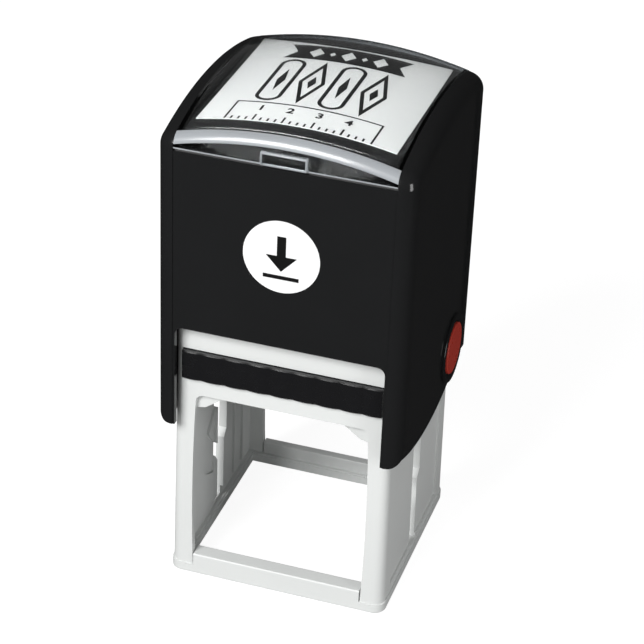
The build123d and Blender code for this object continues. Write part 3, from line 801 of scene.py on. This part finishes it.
def coil_tree():
    """A compression spring along Z with a closed turn at each end, standing on z = Foot."""
    tree, given, out = new_tree("coil", "Centre X", "Foot", "Height", "Radius", "Wire Radius", "Turns")
    spiral = add(tree, "GeometryNodeCurveSpiral")
    wire(tree, spiral, Resolution=36, Start_Radius=given["Radius"], End_Radius=given["Radius"], Height=0.0)
    wire(tree, spiral, Rotations=given["Turns"])
    part = add(tree, "GeometryNodeSplineParameter").outputs["Factor"]
    wire_d = maths(tree, "MULTIPLY", given["Wire Radius"], 2.0)
    rise = maths(tree, "SUBTRACT", given["Height"], wire_d)
    closed = maths(tree, "MULTIPLY", given["Turns"], wire_d)
    turn = maths(tree, "DIVIDE", 1.0, given["Turns"])
    open_rise = maths(tree, "SUBTRACT", rise, maths(tree, "MULTIPLY", wire_d, 2.0))
    open_part = maths(tree, "SUBTRACT", 1.0, maths(tree, "MULTIPLY", turn, 2.0))
    slope = maths(tree, "DIVIDE", open_rise, open_part)
    body = maths(tree, "ADD", wire_d, maths(tree, "MULTIPLY", slope, maths(tree, "SUBTRACT", part, turn)))
    lower = maths(tree, "MAXIMUM", maths(tree, "MULTIPLY", closed, part), body)
    from_top = maths(tree, "MULTIPLY", closed, maths(tree, "SUBTRACT", 1.0, part))
    height = maths(tree, "MINIMUM", lower, maths(tree, "SUBTRACT", rise, from_top))
    foot = maths(tree, "ADD", given["Foot"], given["Wire Radius"])
    place = add(tree, "ShaderNodeCombineXYZ")
    wire(tree, place, X=given["Centre X"], Z=maths(tree, "ADD", height, foot))
    moved = add(tree, "GeometryNodeSetPosition")
    wire(tree, moved, Geometry=spiral.outputs[0], Offset=place.outputs[0])
    section = add(tree, "GeometryNodeCurvePrimitiveCircle")
    wire(tree, section, Resolution=12, Radius=given["Wire Radius"])
    tube = add(tree, "GeometryNodeCurveToMesh")
    wire(tree, tube, Curve=moved.outputs[0], Profile_Curve=section.outputs[0], Fill_Caps=True)
    closing_nodes(tree, tube.outputs[0], out, "spring_steel")
    return tree


def washer_tree():
    """A wave washer round an axis along X."""
    tree, given, out = new_tree("wave_washer", "X", "Y", "Z", "Radius", "Wide", "Thick", "Waves", "Lift")
    ring = add(tree, "GeometryNodeCurvePrimitiveCircle")
    wire(tree, ring, Resolution=96, Radius=given["Radius"])
    part = add(tree, "GeometryNodeSplineParameter").outputs["Factor"]
    turn = maths(tree, "MULTIPLY", maths(tree, "MULTIPLY", part, given["Waves"]), 2 * math.pi)
    lift = maths(tree, "MULTIPLY", maths(tree, "SINE", turn), maths(tree, "MULTIPLY", given["Lift"], 0.5))
    wave = add(tree, "ShaderNodeCombineXYZ")
    wire(tree, wave, Z=lift)
    bent = add(tree, "GeometryNodeSetPosition")
    wire(tree, bent, Geometry=ring.outputs[0], Offset=wave.outputs[0])
    section = add(tree, "GeometryNodeCurvePrimitiveQuadrilateral")
    wire(tree, section, Width=given["Wide"], Height=given["Thick"])
    strip = add(tree, "GeometryNodeCurveToMesh")
    wire(tree, strip, Curve=bent.outputs[0], Profile_Curve=section.outputs[0])
    place = add(tree, "ShaderNodeCombineXYZ")
    wire(tree, place, X=given["X"], Y=given["Y"], Z=given["Z"])
    turned = add(tree, "GeometryNodeTransform")
    wire(tree, turned, Geometry=strip.outputs[0], Translation=place.outputs[0])
    wire(tree, turned, Rotation=(0, math.radians(90), 0))
    closing_nodes(tree, turned.outputs[0], out, "spring_steel")
    return tree


def add_main_springs():
    """The two main springs, standing on the frame's deck."""
    tree = coil_tree()
    for side in SIDES:
        low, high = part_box(f"main_spring_{side}")
        mesh = grown(
            tree,
            f"coil_{side}",
            Centre_X=(low[0] + high[0]) / 2,
            Foot=low[2],
            Height=high[2] - low[2],
            Radius=(high[0] - low[0]) / 2 - SPRING_WIRE_R,
            Wire_Radius=SPRING_WIRE_R,
            Turns=SPRING_TURNS,
        )
        node = f"main_spring_{side}"
        spring = new_piece(f"coil_{side}", mesh, ["spring_steel"], "frame", "spring_steel", node)
        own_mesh(spring)


def add_washers():
    """The lock buttons' wave washers."""
    tree = washer_tree()
    for side, sign in SIDES.items():
        low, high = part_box(f"lock_spring_{side}")
        floor = min(abs(low[0]), abs(high[0]))
        outer = (high[1] - low[1]) / 2
        stand = (WASHER_LIFT + WASHER_THICK) / 2
        mesh = grown(
            tree,
            f"wave_washer_{side}",
            X=sign * (floor + stand),
            Y=(low[1] + high[1]) / 2,
            Z=(low[2] + high[2]) / 2,
            Radius=outer - WASHER_INSET,
            Wide=WASHER_WIDE,
            Thick=WASHER_THICK,
            Waves=WASHER_WAVES,
            Lift=WASHER_LIFT,
        )
        node = f"lock_spring_{side}"
        washer = new_piece(f"wave_washer_{side}", mesh, ["spring_steel"], "cap", "spring_steel", node)
        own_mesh(washer)


# ------------------------------------------------------------------ felt, foam and rubber
def soft_slab(low, high, cells, corner, pinch, nap, seed):
    """A square sheet of soft material: rounded rim, sides drawn in by pinch, a surface uneven by nap."""
    bm = bmesh.new()
    thick = high[2] - low[2]
    rings = 6
    middle = (Vector(low) + Vector(high)) / 2
    half = (high[0] - low[0]) / 2
    bmesh.ops.create_grid(bm, x_segments=cells, y_segments=cells, size=half)
    top = bm.faces[:]
    raised = bmesh.ops.extrude_face_region(bm, geom=top, use_keep_orig=True)
    moved = [part for part in raised["geom"] if isinstance(part, bmesh.types.BMVert)]
    bmesh.ops.translate(bm, verts=moved, vec=(0, 0, thick))
    walls = [edge for edge in bm.edges if abs(edge.verts[0].co.z - edge.verts[1].co.z) > thick / 2]
    bmesh.ops.subdivide_edges(bm, edges=walls, cuts=rings - 1, use_grid_fill=True)
    for vert in bm.verts:
        level = vert.co.z / thick
        rim = max(abs(vert.co.x), abs(vert.co.y)) / half
        waist = math.sin(math.pi * level) * pinch * thick
        corner_pull = (abs(vert.co.x * vert.co.y) / half**2) ** 6 * corner
        shrink = 1 - ((waist + corner_pull) / half) * rim**8
        vert.co.x *= shrink
        vert.co.y *= shrink
        edge_drop = max(0.0, rim - 0.97) / 0.03
        vert.co.z += (0.5 - level) * 0.18 * thick * edge_drop**2
        bump = noise_at(vert.co * 900 + Vector((seed, 0, 0))) + 0.5 * noise_at(vert.co * 2600)
        vert.co.z += (0.5 - level) * abs(bump) * nap * MM
        vert.co += middle - Vector((0, 0, thick / 2))
    return bm


def add_felt():
    """The inked felt in the cartridge's tray."""
    low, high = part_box("ink_felt")
    mesh = mesh_from(soft_slab(low, high, 90, SOFT_CORNER, FELT_PINCH, FELT_NAP, 3.0), "felt_pad", 60)
    felt = new_piece("felt_pad", mesh, ["inked_felt"], "ink_pad", "inked_felt", "ink_felt")


def add_foam():
    """The foam sheet between the die plate and the rubber."""
    low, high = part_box("die_cushion")
    mesh = mesh_from(soft_slab(low, high, 80, SOFT_CORNER, FOAM_PINCH, FOAM_NAP, 11.0), "foam_sheet", 60)
    foam = new_piece("foam_sheet", mesh, ["cushion_foam"], "die", "cushion_foam", "die_cushion")


def add_rubber():
    """The rubber die: a backing sheet with the label's design standing up from it, mirrored."""
    low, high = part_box("rubber_die")
    base_top = low[2] + RUBBER_BACKING
    bm = stamp_art()
    bmesh.ops.scale(bm, vec=(-RELIEF_SCALE, RELIEF_SCALE, 1), verts=bm.verts)
    bmesh.ops.translate(bm, verts=bm.verts, vec=(0, RELIEF_SHIFT, base_top - RELIEF_ROOT))
    raise_art(bm, (0, 0, high[2] - base_top + RELIEF_ROOT))
    sheet = bmesh.ops.create_cube(bm, size=1.0)["verts"]
    size = Vector((2 * high[0], 2 * high[0], base_top - low[2]))
    place = Vector((0, 0, (base_top + low[2]) / 2))
    bmesh.ops.transform(bm, matrix=Matrix.LocRotScale(place, None, size), verts=sheet)
    round_edges(bm, sheet, RUBBER_RIM, 2)
    rubber = mesh_from(bm, "relief_rubber", 30)
    new_piece("relief_rubber", rubber, ["die_rubber"], "die", "die_rubber", "rubber_die")


# ------------------------------------------------------------------ studio
def camera_axes():
    """The camera's right, up and back directions."""
    sin_a, cos_a = math.sin(CAMERA_AZIMUTH), math.cos(CAMERA_AZIMUTH)
    sin_e, cos_e = math.sin(CAMERA_ELEVATION), math.cos(CAMERA_ELEVATION)
    back = Vector((sin_a * cos_e, -cos_a * cos_e, sin_e))
    right = Vector((cos_a, sin_a, 0))
    up = back.cross(right)
    sin_r, cos_r = math.sin(CAMERA_ROLL), math.cos(CAMERA_ROLL)
    return right * cos_r + up * sin_r, up * cos_r - right * sin_r, back


def add_camera():
    right, up, back = camera_axes()
    turn = Matrix((right, up, back)).transposed().to_4x4()
    place = Vector((0, 0, AIM_Z)) + right * CAMERA_RIGHT + up * CAMERA_UP + back * CAMERA_BACK
    data = bpy.data.cameras.new("camera")
    data.lens = LENS
    data.sensor_width = SENSOR
    data.clip_start = 0.01
    camera = bpy.data.objects.new("camera", data)
    camera.matrix_world = Matrix.Translation(place) @ turn
    bpy.context.scene.collection.objects.link(camera)
    bpy.context.scene.camera = camera


def add_softbox(name, place, size, power):
    data = bpy.data.lights.new(name, "AREA")
    data.shape = "RECTANGLE"
    data.size, data.size_y = size
    data.energy = power
    light = bpy.data.objects.new(name, data)
    place = Vector(place)
    light.location = place
    light.rotation_euler = (Vector(LIGHT_AIM) - place).to_track_quat("-Z", "Y").to_euler()
    bpy.context.scene.collection.objects.link(light)


def studio_floor_material():
    """Pale to the eye, dimmer to reflections and to bounced light, as a floor with black flags round it."""
    material = new_material("studio_floor", Roughness=0.9, Emission_Color=(1, 1, 1, 1))
    tree = material.node_tree
    shader = tree.nodes["Principled BSDF"]
    light = add(tree, "ShaderNodeLightPath")
    seen = light.outputs["Is Camera Ray"]
    pale = mix_colour(tree, seen, grey(FLOOR_BOUNCE), grey(FLOOR_SEEN))
    wire(tree, shader, Base_Color=pale, Emission_Strength=maths(tree, "MULTIPLY", seen, FLOOR_LIFT))
    dim = add(tree, "ShaderNodeEmission")
    dim.inputs[0].default_value = grey(FLOOR_MIRRORED)
    mixed_shaders(material, light.outputs["Is Glossy Ray"], shader, dim)
    return material


def add_floor():
    bm = bmesh.new()
    reach = (-FLOOR_HALF, FLOOR_HALF)
    bm.faces.new([bm.verts.new((x, y, FLOOR_Z)) for x, y in box_outline(reach, reach)])
    mesh = bpy.data.meshes.new("floor")
    bm.to_mesh(mesh)
    bm.free()
    mesh.materials.append(studio_floor_material())
    floor = bpy.data.objects.new("floor", mesh)
    bpy.context.scene.collection.objects.link(floor)


def add_world():
    """A room that is white to the eye, a soft grey as light, dim through clear plastic and in reflections."""
    world = bpy.data.worlds.new("studio")
    bpy.context.scene.world = world
    world.use_nodes = True
    tree = world.node_tree
    light = add(tree, "ShaderNodeLightPath")
    lit = mix_colour(tree, light.outputs["Is Glossy Ray"], grey(ROOM_LIGHT), grey(ROOM_MIRRORED))
    through = mix_colour(tree, light.outputs["Is Transmission Ray"], lit, grey(ROOM_THROUGH))
    shown = mix_colour(tree, light.outputs["Is Camera Ray"], through, (1, 1, 1, 1))
    tree.links.new(shown, tree.nodes["Background"].inputs["Color"])


def add_lights():
    """A large key over the left shoulder, and a low strip that edges the front right column."""
    add_softbox("key", KEY_AT, KEY_SIZE, KEY_POWER)
    add_softbox("strip", STRIP_AT, STRIP_SIZE, STRIP_POWER)


# ------------------------------------------------------------------ build
bpy.context.scene.view_settings.view_transform = "Standard"
add_camera()
add_floor()
add_world()
add_lights()
finish_frame_nodes()
add_cover()
add_label_print()
add_badge_print()
add_main_springs()
add_washers()
add_felt()
add_foam()
add_rubber()
